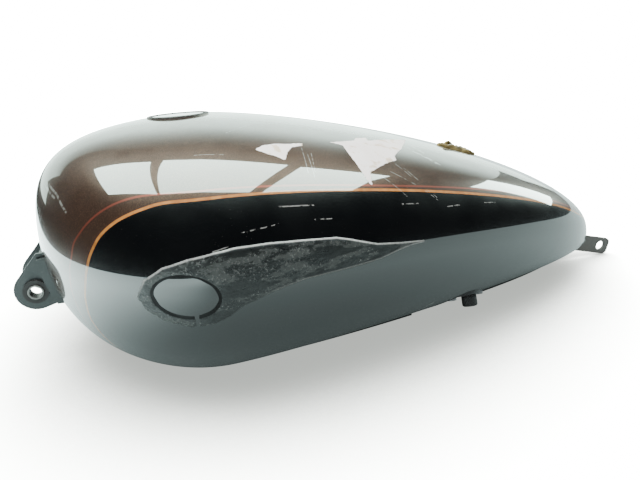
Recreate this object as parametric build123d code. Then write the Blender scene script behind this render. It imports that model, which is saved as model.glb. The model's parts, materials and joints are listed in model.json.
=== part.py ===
from build123d import *
import math
import os

# Teardrop motorcycle fuel tank with an in-tank pump. Millimetres, +Z up.
# X runs along the tank: the steering-head end is at -X and the saddle end at +X.
# The shell is symmetric about Y = 0. While it is modelled, X = 0 is the middle of the
# shell's length, and each piece is moved to the final origin as it is written: the
# middle of the whole tank's footprint, on the bench that it rests on.

# ---------------------------------------------------------------- outer shape
LENGTH = 580.0
HALF_WIDTH = 172.5
CREST_Z = 215.5
BELLY_Z = -1.0
NOSE_Z = 117.0
TAIL_Z = 38.0
WIDEST_MID_Z = 111.0
AT_WIDEST = 148.0
AT_CREST = 145.0
AT_BELLY = 130.0
SECTIONS = 15
LOWER_FLATNESS = 0.71
LOWER_FULLNESS = 0.58

# ---------------------------------------------------------------- sheet metal
WALL = 1.5
LIP_DEPTH = 8.0
FLOOR_AT_X = -145.0
FLOOR_AT_Z = 8.0
FLOOR_SLOPE = math.degrees(math.atan(0.0517))
TUNNEL_FRONT = (45.0, 60.0)
TUNNEL_REAR = (15.0, 46.0)
TUNNEL_END_X = 310.0
BAFFLE_X = -60.0
BAFFLE_HOLE_RADIUS = 19.0

# ---------------------------------------------------------------- front bracket
EAR_HOLE = (-298.7, 79.6)
EAR_SPACING = 45.0
EAR_RADIUS = 18.5
EAR_THICKNESS = 3.0
EAR_TOP_Z = 114.0
EAR_BOTTOM_Z = 68.0
FOOT_THICKNESS = 2.5
FOOT_HALF_WIDTH = 30.0
FOOT_BOTTOM_Z = 66.0
FOOT_TOP_Z = 110.0
FOOT_BACK_X = -262.0
GROMMET_RADIUS = 11.0
GROMMET_HOLE_RADIUS = 9.6
SLEEVE_RADIUS = 6.9
BOLT_RADIUS = 5.15

# ---------------------------------------------------------------- rear tab
TAB_THICKNESS = 3.0
TAB_HEIGHT = 20.0
TAB_TILT = 15.0
TAB_HOLE = (323.8, 14.2)
TAB_HOLE_RADIUS = 5.5
TAB_END = 12.0
TAB_CORNER = 6.0
TAB_ROOT_X = 246.0

# ---------------------------------------------------------------- filler and cap
CAP_X = -153.0
CAP_Y = 24.0
CAP_Z = 214.0
CAP_TILT = 5.0
CUP_RADIUS = 28.5
CUP_DEPTH = 15.0
NECK_RADIUS = 22.0
NECK_DEPTH = 38.0
KNOB_RADIUS = 25.2
KNOB_TRAVEL = 12.0
THREAD_RADIUS = 20.3

# ---------------------------------------------------------------- vent pipe
VENT_RADIUS = 3.6
VENT_BORE = 2.8
SPIGOT_RADIUS = 4.0

# ---------------------------------------------------------------- pump module
PUMP_X = 80.0
PUMP_Y = -74.0
PUMP_Z = 33.0
PUMP_TILT = 21.5
SEAT_RADIUS = 35.0
SEAT_HOLE_RADIUS = 27.0
SCREW_CIRCLE = 30.5
SCREW_COUNT = 5
CAN_RADIUS = 18.0
CAN_LENGTH = 80.0
CAN_Z = 40.0
FILTER_RADIUS = 11.0
FILTER_LENGTH = 50.0
FILTER_Z = 73.0
HOSE_RADIUS = 4.5
HOSE_BORE = 3.1
OUTLET_X = 20.0
OUTLET_Y = -6.0
STUB_RADIUS = 7.5
FLANGE_TOP = -1.2
SOCKET_X = -10.5
SOCKET_Y = 13.0
STUB_END_Z = -19.0
ARM_PIVOT_Z = 32.0
ARM_LENGTH = 88.0
ARM_LOW = -16.0
FLOAT_RADIUS = 11.0

# ---------------------------------------------------------------- badge footprint
BADGE_CENTRE = (-172.0, 115.5)
BADGE_RADII = (31.0, 26.0)
BADGE_TIP = (24.0, 122.5)
BADGE_THICKNESS = 0.8
BADGE_RING_WIDTH = 5.0

# ---------------------------------------------------------------- final origin
BENCH_Z = 2.0
FRONT_END_X = EAR_HOLE[0] - EAR_RADIUS
tab_lean = math.radians(TAB_TILT)
tab_corner_x = (TAB_END - TAB_CORNER) * math.cos(tab_lean)
tab_corner_x += (TAB_HEIGHT / 2 - TAB_CORNER) * math.sin(tab_lean)
REAR_END_X = TAB_HOLE[0] + tab_corner_x + TAB_CORNER
ORIGIN = ((FRONT_END_X + REAR_END_X) / 2, 0, BENCH_Z)

os.makedirs("parts", exist_ok=True)


def write(name, *shapes):
    """Writes one node: a single shape, or a group of separate solids."""
    moved = [Pos(-ORIGIN[0], 0, -ORIGIN[2]) * shape for shape in shapes]
    solids = [solid for shape in moved for solid in shape.solids()]
    export_step(solids[0] if len(solids) == 1 else Compound(solids), f"parts/{name}.step")


# ================================================================ tank shape
def cubic(p0, p1, p2, p3, t):
    s = 1 - t
    return s**3 * p0 + 3 * s * s * t * p1 + 3 * s * t * t * p2 + t**3 * p3


def parameter_at(p0, p1, p2, p3, value):
    """The parameter where a rising cubic reaches a value."""
    low, high = 0.0, 1.0
    for _ in range(50):
        middle = (low + high) / 2
        if cubic(p0, p1, p2, p3, middle) < value:
            low = middle
        else:
            high = middle
    return (low + high) / 2


def swept_line(x, inset, start, peak, end, peak_x, rise, flat, drop):
    """A line from nose to tail: round at both ends, level where it peaks."""
    if x <= peak_x:
        t = parameter_at(inset, inset, peak_x - flat * (peak_x - inset), peak_x, x)
        return cubic(start, start + rise * (peak - start), peak, peak, t)
    tail = LENGTH - inset
    t = parameter_at(peak_x, peak_x + 0.2 * (tail - peak_x), tail, tail, x)
    return cubic(peak, peak, end + drop * (peak - end), end, t)


def half_width(x, inset=0.0):
    return swept_line(x, inset, 0, HALF_WIDTH - inset, 0, AT_WIDEST, 0.42, 0.36, 0.52)


def crest_height(x, inset=0.0):
    return swept_line(x, inset, NOSE_Z, CREST_Z - inset, TAIL_Z, AT_CREST, 0.80, 0.79, 0.53)


def belly_height(x, inset=0.0):
    return swept_line(x, inset, NOSE_Z, BELLY_Z + inset, TAIL_Z, AT_BELLY, 0.52, 0.71, 0.43)


def widest_height(x):
    s = x / LENGTH
    nose_part = NOSE_Z * (1 - s) * (1 - 2 * s)
    tail_part = TAIL_Z * s * (2 * s - 1)
    return nose_part + 4 * WIDEST_MID_Z * s * (1 - s) + tail_part


def section_wire(x, inset):
    """The closed cross-section at a distance x from the nose: four cubic quarters."""
    width = half_width(x, inset)
    top = crest_height(x, inset)
    bottom = belly_height(x, inset)
    wide = widest_height(x)
    s = x / LENGTH
    crown = 0.52 + 0.20 * s
    shoulder = 0.54 + 0.18 * s

    def quarter(side, controls):
        return [Vector(x - LENGTH / 2, side * y, z) for y, z in controls]

    shoulder_z = wide + shoulder * (top - wide)
    upper = [(0, top), (width * crown, top), (width, shoulder_z), (width, wide)]
    low_z = wide - LOWER_FULLNESS * (wide - bottom)
    lower = [(width, wide), (width, low_z), (width * LOWER_FLATNESS, bottom), (0, bottom)]
    return Wire(
        [
            Edge.make_bezier(*quarter(-1, upper)),
            Edge.make_bezier(*quarter(-1, lower)),
            Edge.make_bezier(*quarter(1, lower[::-1])),
            Edge.make_bezier(*quarter(1, upper[::-1])),
        ]
    )


def tank_body(inset):
    """The solid inside the tank's outline moved inwards by inset."""
    span = LENGTH - 2 * inset
    wires = []
    for index in range(1, SECTIONS + 1):
        share = (1 - math.cos(math.pi * index / (SECTIONS + 1))) / 2
        wires.append(section_wire(inset + span * share, inset))
    nose = Vertex(inset - LENGTH / 2, 0, NOSE_Z)
    tail = Vertex(LENGTH / 2 - inset, 0, TAIL_Z)
    return Solid.make_loft([nose, *wires, tail])


def tunnel(growth):
    """The inverted-U space for the frame's backbone tube, wider at the front."""

    def arch(x, half, crown):
        half = half + growth
        crown = crown + growth
        radius = 0.6 * half
        k = radius * (1 - math.sqrt(0.5))

        def at(y, z):
            return Vector(x, y, z)

        left_corner = ThreePointArc(
            at(-half, crown - radius), at(-half + k, crown - k), at(-half + radius, crown)
        )
        right_corner = ThreePointArc(
            at(half - radius, crown), at(half - k, crown - k), at(half, crown - radius)
        )
        return Wire(
            [
                Line(at(-half, -40), at(-half, crown - radius)),
                left_corner,
                Line(at(-half + radius, crown), at(half - radius, crown)),
                right_corner,
                Line(at(half, crown - radius), at(half, -40)),
                Line(at(half, -40), at(-half, -40)),
            ]
        )

    front = arch(-TUNNEL_END_X, *TUNNEL_FRONT)
    rear = arch(TUNNEL_END_X, *TUNNEL_REAR)
    return Solid.make_loft([front, rear], ruled=True)


floor_frame = Location((FLOOR_AT_X, 0, FLOOR_AT_Z), (0, -FLOOR_SLOPE, 0))
pump_frame = Location((PUMP_X, PUMP_Y, PUMP_Z), (-PUMP_TILT, 0, 0))
cap_frame = Location((CAP_X, CAP_Y, CAP_Z), (-CAP_TILT, 0, 0))
BIG = 900.0
BOTTOM_UP = (Align.CENTER, Align.CENTER, Align.MIN)
TOP_DOWN = (Align.CENTER, Align.CENTER, Align.MAX)


def post(radius, low, high, x=0.0, y=0.0):
    """A round post along local Z."""
    return Pos(x, y, low) * Cylinder(radius, high - low, align=BOTTOM_UP)


def tube(outer, inner, low, high, x=0.0, y=0.0):
    return post(outer, low, high, x, y) - post(inner, low, high, x, y)


def rod_x(radius, start, end, y=0.0, z=0.0):
    """A round rod along local X."""
    rod = Cylinder(radius, end - start, align=BOTTOM_UP)
    return Pos(start, y, z) * Rot(0, 90, 0) * rod


def rod_y(radius, start, end, x=0.0, z=0.0):
    """A round rod along local Y."""
    rod = Cylinder(radius, end - start, align=BOTTOM_UP)
    return Pos(x, start, z) * Rot(-90, 0, 0) * rod


def turned(points):
    """A solid of revolution about local Z from (radius, height) corners."""
    outline = Polyline(*[(r, 0, z) for r, z in points], close=True)
    return revolve(make_face(outline), Axis.Z)


def piped(points, radii, outer, inner):
    """A hose along straight runs joined by tangent arcs."""
    path = FilletPolyline(*points, radius=radii)
    start = Plane(origin=path @ 0, z_dir=path % 0)
    ring = start * (Circle(outer) - Circle(inner))
    return sweep(ring, path)


def screw_point(index):
    angle = math.radians(36 + 360.0 * index / SCREW_COUNT)
    return SCREW_CIRCLE * math.cos(angle), SCREW_CIRCLE * math.sin(angle)


outer = tank_body(0.0)
inner = tank_body(WALL)
tunnel_space = tunnel(0.0)
tunnel_block = tunnel(WALL)
above_floor = floor_frame * Box(BIG, BIG, BIG, align=BOTTOM_UP)
below_floor = floor_frame * Box(BIG, BIG, BIG, align=TOP_DOWN)
pump_pocket = pump_frame * post(SEAT_RADIUS, -20, 0)
pump_dimple = pump_frame * post(SEAT_RADIUS + WALL, -20, WALL)
pump_hole = pump_frame * post(SEAT_HOLE_RADIUS, -5, 10)
filler_hole = cap_frame * post(CUP_RADIUS, -20, 20)

# ================================================================ sheet-metal shell
shell = (outer - pump_pocket) - (inner - pump_dimple)
pump_zone = pump_frame * post(SEAT_RADIUS + WALL, -20, 40)
skins = shell - (below_floor - pump_zone)
skins = skins - tunnel_block - pump_hole - filler_hole

floor_plane = Plane(floor_frame)
rim = section(outer - inner, section_by=floor_plane)
bench_top = Pos(0, 0, BENCH_Z) * Box(BIG, BIG, BIG, align=BOTTOM_UP)
lip = extrude(rim, LIP_DEPTH, dir=(0, 0, -1)) - tunnel_block - pump_zone
lip = lip & bench_top

screw_holes = [pump_frame * post(2.6, -10, 10, *screw_point(i)) for i in range(SCREW_COUNT)]
skins = skins - screw_holes
half_space = Box(BIG, BIG, BIG, align=(Align.CENTER, Align.MAX, Align.CENTER))
left_skin = (skins + lip) & half_space
right_skin = (skins + lip) - half_space
write("left_skin", left_skin)
write("right_skin", right_skin)

floor_slab = floor_frame * Box(BIG, BIG, WALL, align=BOTTOM_UP)
vent_hole_x = -100.0
vent_hole_y = 52.0
tunnel_wall = (tunnel_block - tunnel_space) & inner
pan = (floor_slab & inner) - tunnel_space + (tunnel_wall & above_floor)
pan = pan - post(VENT_RADIUS, -5, 30, vent_hole_x, vent_hole_y) - pump_zone
write("tunnel_pan", pan)

# ================================================================ baffle
baffle = Pos(BAFFLE_X, 0, 0) * Box(WALL, BIG, BIG) & inner & above_floor
baffle = baffle - tunnel_block - floor_slab
for hole_y, hole_z in ((-105, 95), (-58, 130), (0, 160), (58, 130), (105, 95)):
    baffle = baffle - rod_x(BAFFLE_HOLE_RADIUS, BAFFLE_X - 5, BAFFLE_X + 5, hole_y, hole_z)
for drain_y in (-62, 62):
    baffle = baffle - rod_x(9.0, BAFFLE_X - 5, BAFFLE_X + 5, drain_y, 14.0)
write("baffle", baffle)

# ================================================================ front bracket
def belly_x(height):
    """Where the belly line rises to a height on its way to the nose."""
    low, high = 0.0, AT_BELLY
    for _ in range(50):
        middle = (low + high) / 2
        if belly_height(middle) > height:
            low = middle
        else:
            high = middle
    return low - LENGTH / 2


foot_heights = (FOOT_BOTTOM_Z, (FOOT_BOTTOM_Z + FOOT_TOP_Z) / 2, FOOT_TOP_Z)
foot_front = [(belly_x(height) - FOOT_THICKNESS, height) for height in foot_heights]
foot_outline = [
    ThreePointArc(*foot_front),
    Line(foot_front[2], (FOOT_BACK_X, FOOT_TOP_Z)),
    Line((FOOT_BACK_X, FOOT_TOP_Z), (FOOT_BACK_X, FOOT_BOTTOM_Z)),
    Line((FOOT_BACK_X, FOOT_BOTTOM_Z), foot_front[0]),
]
foot = extrude(Plane.XZ * make_face(foot_outline), FOOT_HALF_WIDTH, both=True)
hole_x, hole_z = EAR_HOLE
ear_circle = Pos(hole_x, hole_z) * Circle(EAR_RADIUS)
ear_root = [(-292.5, EAR_TOP_Z), (-272, EAR_TOP_Z), (-272, EAR_BOTTOM_Z)]
ear_lines = Polyline(*ear_root)
ear_outline = make_hull(ear_circle.edges() + ear_lines.edges())
ear_plate = extrude(Plane.XZ * ear_outline, EAR_THICKNESS / 2, both=True)
grommet_cut = rod_y(GROMMET_HOLE_RADIUS, -40, 40, hole_x, hole_z)
ears = [Pos(0, side * EAR_SPACING / 2, 0) * ear_plate for side in (-1, 1)]
bracket = (foot + ears) - outer
write("front_bracket", bracket - grommet_cut)

GROOVE = EAR_THICKNESS / 2
grommet = turned(
    [
        (SLEEVE_RADIUS, -4.5),
        (GROMMET_RADIUS, -4.5),
        (GROMMET_RADIUS, -GROOVE),
        (GROMMET_HOLE_RADIUS, -GROOVE),
        (GROMMET_HOLE_RADIUS, GROOVE),
        (GROMMET_RADIUS, GROOVE),
        (GROMMET_RADIUS, 4.5),
        (SLEEVE_RADIUS, 4.5),
    ]
)
sleeve = turned(
    [
        (BOLT_RADIUS, -4.5),
        (SLEEVE_RADIUS, -4.5),
        (SLEEVE_RADIUS, 4.5),
        (9.4, 4.5),
        (9.4, 6.0),
        (BOLT_RADIUS, 6.0),
    ]
)
eye_places = []
for side in (-1, 1):
    centre = (hole_x, side * EAR_SPACING / 2, hole_z)
    eye_places.append(Location(centre, (-90 * side, 0, 0)))
write("front_grommets", *[place * grommet for place in eye_places])
write("front_sleeves", *[place * sleeve for place in eye_places])

# ================================================================ rear tab
tab_frame = Location((TAB_HOLE[0], 0, TAB_HOLE[1]), (0, TAB_TILT, 0))
tab_reach = TAB_HOLE[0] - TAB_ROOT_X
tab_outline = Pos((TAB_END - tab_reach) / 2, 0) * Rectangle(tab_reach + TAB_END, TAB_HEIGHT)
tab_corners = tab_outline.vertices().group_by(Axis.X)[-1]
tab_outline = fillet(tab_corners, TAB_CORNER)
tab_face = tab_outline - Circle(TAB_HOLE_RADIUS)
tab_blank = extrude(Plane.XZ * tab_face, TAB_THICKNESS / 2, both=True)
tab_blade = tab_frame * tab_blank
tab_gusset = Pos(262, 0, 38) * Box(32, TAB_THICKNESS, 22)
tab_foot = Pos(262, 0, 46.3) * Box(32, 18, 3.0)
tab = tab_blade + (tab_gusset & tunnel_space) + (tab_foot & tunnel_space)
write("rear_tab", tab)

# ================================================================ filler cup and cap
cup = turned(
    [
        (CUP_RADIUS, 0.5),
        (CUP_RADIUS, -CUP_DEPTH),
        (NECK_RADIUS, -CUP_DEPTH),
        (NECK_RADIUS, -NECK_DEPTH),
        (NECK_RADIUS - WALL, -NECK_DEPTH),
        (NECK_RADIUS - WALL, WALL - CUP_DEPTH),
        (CUP_RADIUS - WALL, WALL - CUP_DEPTH),
        (CUP_RADIUS - WALL, 0.5),
    ]
)
write("filler_cup", cap_frame * cup)

rim_seal = turned(
    [
        (25.6, 2.0),
        (29.3, 2.0),
        (29.3, 0.5),
        (CUP_RADIUS - WALL, 0.5),
        (CUP_RADIUS - WALL, -4.0),
        (25.6, -4.0),
    ]
)
write("filler_rim_seal", cap_frame * rim_seal)

gasket_low = WALL - CUP_DEPTH
gasket_high = gasket_low + 1.5
write("cap_gasket", cap_frame * tube(25.3, 20.7, gasket_low, gasket_high))

base_floor = -34.0
base = turned(
    [
        (15.0, -9.5),
        (25.0, -9.5),
        (25.0, gasket_high),
        (THREAD_RADIUS, gasket_high),
        (THREAD_RADIUS, base_floor),
        (3.0, base_floor),
        (3.0, base_floor + 4.0),
        (15.0, base_floor + 4.0),
    ]
)
write("cap_base", cap_frame * base)

knob_crown = Pos(0, 0, 1.2 - 400) * Sphere(400) & post(KNOB_RADIUS, -2.5, 5)
knob_disc = knob_crown - post(KNOB_RADIUS - 1.2, -2.5, -0.4)
write("cap_knob_cover", cap_frame * knob_disc)

knob = turned(
    [
        (0.0, -0.4),
        (KNOB_RADIUS - 1.2, -0.4),
        (KNOB_RADIUS - 1.2, -5.0),
        (14.92, -5.0),
        (14.92, -25.0),
        (13.2, -25.0),
        (13.2, -4.0),
        (0.0, -4.0),
    ]
)
write("cap_knob", cap_frame * knob)


def coil_spring(radius, wire, low, high, turns):
    """A round-wire spring standing on low and reaching high."""
    path = Helix((high - low - 2 * wire) / turns, high - low - 2 * wire, radius)
    start = Plane(origin=path @ 0, z_dir=path % 0)
    return Pos(0, 0, low + wire) * sweep(start * Circle(wire), path, is_frenet=True)


write("cap_knob_spring", cap_frame * coil_spring(11.0, 0.8, base_floor + 4.0, -4.0, 5))
valve = turned(
    [
        (0.0, -36.0),
        (5.5, -36.0),
        (5.5, -34.2),
        (2.6, -34.2),
        (2.6, -24.0),
        (4.6, -24.0),
        (4.6, -22.5),
        (0.0, -22.5),
    ]
)
write("cap_vent_valve", cap_frame * valve)
write("cap_vent_spring", cap_frame * coil_spring(3.6, 0.4, base_floor + 4.0, -24.0, 4))

# ================================================================ vent pipe
vent_points = [
    (vent_hole_x, vent_hole_y, 4.0),
    (vent_hole_x, vent_hole_y, 192.0),
    (vent_hole_x - 16, vent_hole_y - 22, 202.0),
]
vent_tube = piped(vent_points, 9.0, VENT_RADIUS, VENT_BORE)
spigot = post(SPIGOT_RADIUS, 4.0, 10.0, vent_hole_x, vent_hole_y)
spigot = spigot - post(VENT_BORE, 0, 20, vent_hole_x, vent_hole_y)
write("vent_pipe", vent_tube + spigot)

# ================================================================ pump mounting
weld_ring = tube(SEAT_RADIUS, SEAT_HOLE_RADIUS, WALL, WALL + 4.0)
gasket = tube(34.0, SEAT_HOLE_RADIUS, FLANGE_TOP, 0)
flange = post(34.5, -4.2, FLANGE_TOP) + tube(26.6, 23.6, FLANGE_TOP, 4.0)
heads = []
for index in range(SCREW_COUNT):
    px, py = screw_point(index)
    weld_ring = weld_ring - post(2.5, 0, 8, px, py)
    gasket = gasket - post(2.7, -3, 3, px, py)
    flange = flange - post(2.7, -6, 0, px, py)
    screw = post(2.45, -4.2, 5.4, px, py) + post(4.2, -6.9, -4.2, px, py)
    heads.append(screw - Pos(px, py, -6.9) * extrude(RegularPolygon(1.7, 6), 1.6))
flange = flange - post(5.05, -6, 6, OUTLET_X, OUTLET_Y)
flange = flange - Pos(SOCKET_X, SOCKET_Y, 0) * Box(12.0, 7.0, 12)
write("pump_weld_ring", pump_frame * weld_ring)
write("pump_gasket", pump_frame * gasket)
write("pump_flange", pump_frame * flange)
write("pump_screws", *[pump_frame * head for head in heads])

# ================================================================ outlet with check valve
stub = turned(
    [
        (5.4, STUB_END_Z),
        (6.6, STUB_END_Z),
        (STUB_RADIUS, STUB_END_Z + 1.2),
        (STUB_RADIUS, -9.5),
        (6.4, -9.0),
        (6.4, -7.6),
        (STUB_RADIUS, -7.1),
        (STUB_RADIUS, -4.2),
        (5.0, -4.2),
        (5.0, 4.0),
        (3.0, 4.0),
        (3.0, 9.0),
        (2.0, 9.0),
        (2.0, -3.4),
        (5.4, -5.6),
    ]
)
outlet_place = pump_frame * Pos(OUTLET_X, OUTLET_Y, 0)
write("outlet_fitting", outlet_place * stub)
poppet = turned(
    [
        (0.0, -10.4),
        (1.4, -10.4),
        (1.4, -6.6),
        (4.4, -6.6),
        (4.4, -5.1),
        (1.6, -3.3),
        (0.0, -3.3),
    ]
)
write("outlet_check_valve", outlet_place * poppet)
check_seat = tube(5.35, 2.2, -14.6, -13.6)
for angle in (0, 120, 240):
    check_seat = check_seat - Rot(0, 0, angle) * post(1.1, -16, -12, 3.8)
write("outlet_spring_seat", outlet_place * check_seat)
write("outlet_check_spring", outlet_place * coil_spring(2.6, 0.35, -13.6, -6.6, 5))
write("outlet_o_ring", outlet_place * Pos(0, 0, -8.3) * Torus(7.15, 0.7))

# ================================================================ pump
can_start = -CAN_LENGTH / 2
can_end = CAN_LENGTH / 2
can = rod_x(CAN_RADIUS, can_start, can_end, 0, CAN_Z)
can = can - rod_x(CAN_RADIUS - 1.5, can_start + 6, can_end - 6, 0, CAN_Z)
can = can - rod_x(2.06, can_start + 2, can_end - 2, 0, CAN_Z)
can = can - post(2.4, CAN_Z - 20, CAN_Z, can_start + 10, 0)
can = can + tube(4.0, 2.4, 15.0, CAN_Z - CAN_RADIUS + 0.6, can_start + 10, 0)
can = can - rod_x(2.0, can_end - 8, can_end + 1, 0, CAN_Z + 8)
nozzle = rod_x(3.0, can_end - 1, can_end + 9, 0, CAN_Z + 8)
can = can + (nozzle - rod_x(2.0, can_end - 2, can_end + 10, 0, CAN_Z + 8))
write("pump_can", pump_frame * can)

rotor = rod_x(14.6, can_start + 18, can_end - 10, 0, CAN_Z)
rotor = rotor + rod_x(1.98, can_start + 3, can_end - 3, 0, CAN_Z)
write("pump_rotor", pump_frame * rotor)
impeller = rod_x(14.9, can_start + 8, can_start + 13, 0, CAN_Z)
impeller = impeller - rod_x(2.0, can_start, can_start + 20, 0, CAN_Z)
for index in range(12):
    notch = Rot(30 * index, 0, 0) * Pos(0, 15.2, 0) * Box(8, 3.2, 2.6)
    impeller = impeller - Pos(can_start + 10.5, 0, CAN_Z) * notch
write("pump_impeller", pump_frame * impeller)

band = rod_x(CAN_RADIUS + 1.5, -6, 6, 0, CAN_Z) - rod_x(CAN_RADIUS, -8, 8, 0, CAN_Z)
leg = Pos(0, CAN_RADIUS + 2.2, FLANGE_TOP) * Box(10, 3.0, CAN_Z - FLANGE_TOP, align=BOTTOM_UP)
filter_saddle = Pos(0, 0, FILTER_Z) * rod_x(FILTER_RADIUS + 1.5, -6, 6)
filter_saddle = filter_saddle - rod_x(FILTER_RADIUS, -8, 8, 0, FILTER_Z)
bridge_low = CAN_Z + CAN_RADIUS + 0.7
bridge_high = FILTER_Z - FILTER_RADIUS - 0.7
bridge = Pos(0, 0, bridge_low) * Box(10, 8, bridge_high - bridge_low, align=BOTTOM_UP)
bracket_foot = Pos(0, CAN_RADIUS + 1.9, FLANGE_TOP) * Box(10, 6.0, 4.0, align=BOTTOM_UP)
leg = leg - rod_x(CAN_RADIUS, -8, 8, 0, CAN_Z)
pump_bracket = band + leg + filter_saddle + bridge + bracket_foot
write("pump_bracket", pump_frame * pump_bracket)

sock = Pos(-24, 0, 9.5) * Box(44, 22, 8)
sock = fillet(sock.edges().filter_by(Axis.Z), 8.0)
sock = fillet(sock.edges().group_by(Axis.Z)[-1] + sock.edges().group_by(Axis.Z)[0], 2.5)
sock_neck = post(5.6, 12.0, 17.5, can_start + 10, 0)
sock = sock + sock_neck - post(4.0, 11.0, 20, can_start + 10, 0)
write("pump_strainer", pump_frame * sock)

filter_body = rod_x(FILTER_RADIUS, -25, 25, 0, FILTER_Z)
filter_body = fillet(filter_body.edges(), 2.0)
filter_body = filter_body + rod_x(3.0, 24, 34, 0, FILTER_Z)
filter_body = filter_body + rod_y(3.0, 9, 19, OUTLET_X - 4, FILTER_Z)
write("fuel_filter", pump_frame * filter_body)

regulator = rod_x(8.0, -37, -25, 0, FILTER_Z) + rod_x(5.0, -43, -37, 0, FILTER_Z)
regulator = regulator - rod_x(2.5, -44, -39, 0, FILTER_Z)
write("pressure_regulator", pump_frame * regulator)

feed_points = [
    (can_end + 1.5, 0, CAN_Z + 8),
    (can_end + 20, 0, CAN_Z + 8),
    (can_end + 20, 0, FILTER_Z),
    (26.5, 0, FILTER_Z),
]
write("pump_feed_hose", pump_frame * piped(feed_points, 9.0, HOSE_RADIUS, HOSE_BORE))
outlet_points = [
    (OUTLET_X, OUTLET_Y, 5.0),
    (OUTLET_X, OUTLET_Y, 14.5),
    (OUTLET_X, 29.0, 14.5),
    (OUTLET_X - 4, 29.0, FILTER_Z),
    (OUTLET_X - 4, 12.5, FILTER_Z),
]
write("pump_outlet_hose", pump_frame * piped(outlet_points, 5.5, HOSE_RADIUS, HOSE_BORE))

socket = Pos(SOCKET_X, SOCKET_Y, -12.0) * Box(12, 7, 14, align=BOTTOM_UP)
socket = socket - Pos(SOCKET_X, SOCKET_Y, -12.5) * Box(9.6, 4.6, 8, align=BOTTOM_UP)
pins = [post(0.6, -10.5, 5.0, SOCKET_X + dx, SOCKET_Y) for dx in (-3, -1, 1, 3)]
socket = socket - pins
write("wiring_socket", pump_frame * socket)
write("wiring_pins", *[pump_frame * pin for pin in pins])

# ================================================================ level sender
card = Pos(2, -23.6, 4.0) * Box(16, 3.0, ARM_PIVOT_Z + 4, align=BOTTOM_UP)
card = fillet(card.edges().filter_by(Axis.Y), 2.0)
pivot_pin = rod_y(2.0, -28.4, -25.0, 2, ARM_PIVOT_Z)
write("sender_card", pump_frame * (card + pivot_pin))

arm_turn = Pos(2, 0, ARM_PIVOT_Z) * Rot(0, ARM_LOW, 0)
hub = rod_y(4.0, -28.0, -25.6) - rod_y(2.06, -30, -24)
arm_path = FilletPolyline((-3.2, -26.8, 0), (-ARM_LENGTH, -26.8, 0), (-ARM_LENGTH, -8.0, 0), radius=4.0)
arm_wire = sweep(Plane(origin=arm_path @ 0, z_dir=arm_path % 0) * Circle(1.2), arm_path)
write("float_arm", pump_frame * arm_turn * (hub + arm_wire))
float_solid = rod_y(FLOAT_RADIUS, -22.0, -6.0, -ARM_LENGTH)
float_solid = fillet(float_solid.edges(), 2.5) - rod_y(1.2, -30, 0, -ARM_LENGTH)
write("float", pump_frame * arm_turn * float_solid)

# ================================================================ badge adhesive
badge_x, badge_z = BADGE_CENTRE
tip_x, tip_z = BADGE_TIP
badge_oval = Pos(badge_x, badge_z) * Ellipse(*BADGE_RADII)
tail_top = Spline(
    (badge_x, badge_z + BADGE_RADII[1]),
    (-64.5, 134.0),
    (tip_x, tip_z),
    tangents=((1, 0.02), (1, -0.12)),
)
tail_low = Spline(
    (tip_x, tip_z),
    (-85.0, 112.5),
    (badge_x + 12, badge_z - 0.92 * BADGE_RADII[1]),
    tangents=((-1, 0.05), (-1, -0.25)),
)
tail_close = Line(tail_low @ 1, tail_top @ 0)
badge_tail = make_face([tail_top, tail_low, tail_close])
ring_gap = Ellipse(BADGE_RADII[0] - BADGE_RING_WIDTH, BADGE_RADII[1] - BADGE_RING_WIDTH)
ring_core = Ellipse(BADGE_RADII[0] - BADGE_RING_WIDTH - 3, BADGE_RADII[1] - BADGE_RING_WIDTH - 3)
ring_groove = Pos(badge_x, badge_z) * (ring_gap - ring_core)
badge_face = (badge_oval + badge_tail) - ring_groove
badge_prism = extrude(Plane.XZ * badge_face, 300)
badge_film = tank_body(-BADGE_THICKNESS) - outer
write("badge_adhesive", badge_film & badge_prism)
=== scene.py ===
import json
import math
import bpy
import numpy as np
from mathutils import Matrix, Vector, noise
from mathutils.kdtree import KDTree


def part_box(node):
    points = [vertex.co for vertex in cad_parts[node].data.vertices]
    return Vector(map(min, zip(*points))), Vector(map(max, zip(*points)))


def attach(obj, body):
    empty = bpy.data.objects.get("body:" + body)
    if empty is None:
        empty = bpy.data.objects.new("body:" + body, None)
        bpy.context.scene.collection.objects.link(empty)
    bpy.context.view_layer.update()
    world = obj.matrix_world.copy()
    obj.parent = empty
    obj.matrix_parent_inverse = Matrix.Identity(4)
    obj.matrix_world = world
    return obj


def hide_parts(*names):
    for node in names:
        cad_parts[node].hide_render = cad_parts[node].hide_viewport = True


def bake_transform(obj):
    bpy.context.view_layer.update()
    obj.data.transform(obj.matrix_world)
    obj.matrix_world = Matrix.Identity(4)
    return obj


# A motorcycle fuel tank with two-tone paint. The shape laws are in millimetres, in the
# shell's own frame: X = 0 is the middle of the shell, Y = 0 its plane of symmetry.
# to_row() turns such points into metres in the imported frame.

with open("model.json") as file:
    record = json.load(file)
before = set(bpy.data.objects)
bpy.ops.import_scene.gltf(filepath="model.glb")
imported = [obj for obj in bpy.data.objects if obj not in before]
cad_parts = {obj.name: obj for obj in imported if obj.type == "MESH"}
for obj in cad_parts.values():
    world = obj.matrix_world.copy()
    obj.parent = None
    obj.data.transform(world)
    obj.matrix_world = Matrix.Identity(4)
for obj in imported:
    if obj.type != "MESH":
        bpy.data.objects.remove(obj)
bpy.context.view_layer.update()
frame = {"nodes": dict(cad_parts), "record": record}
nodes = frame["nodes"]
MM = 0.001

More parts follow.
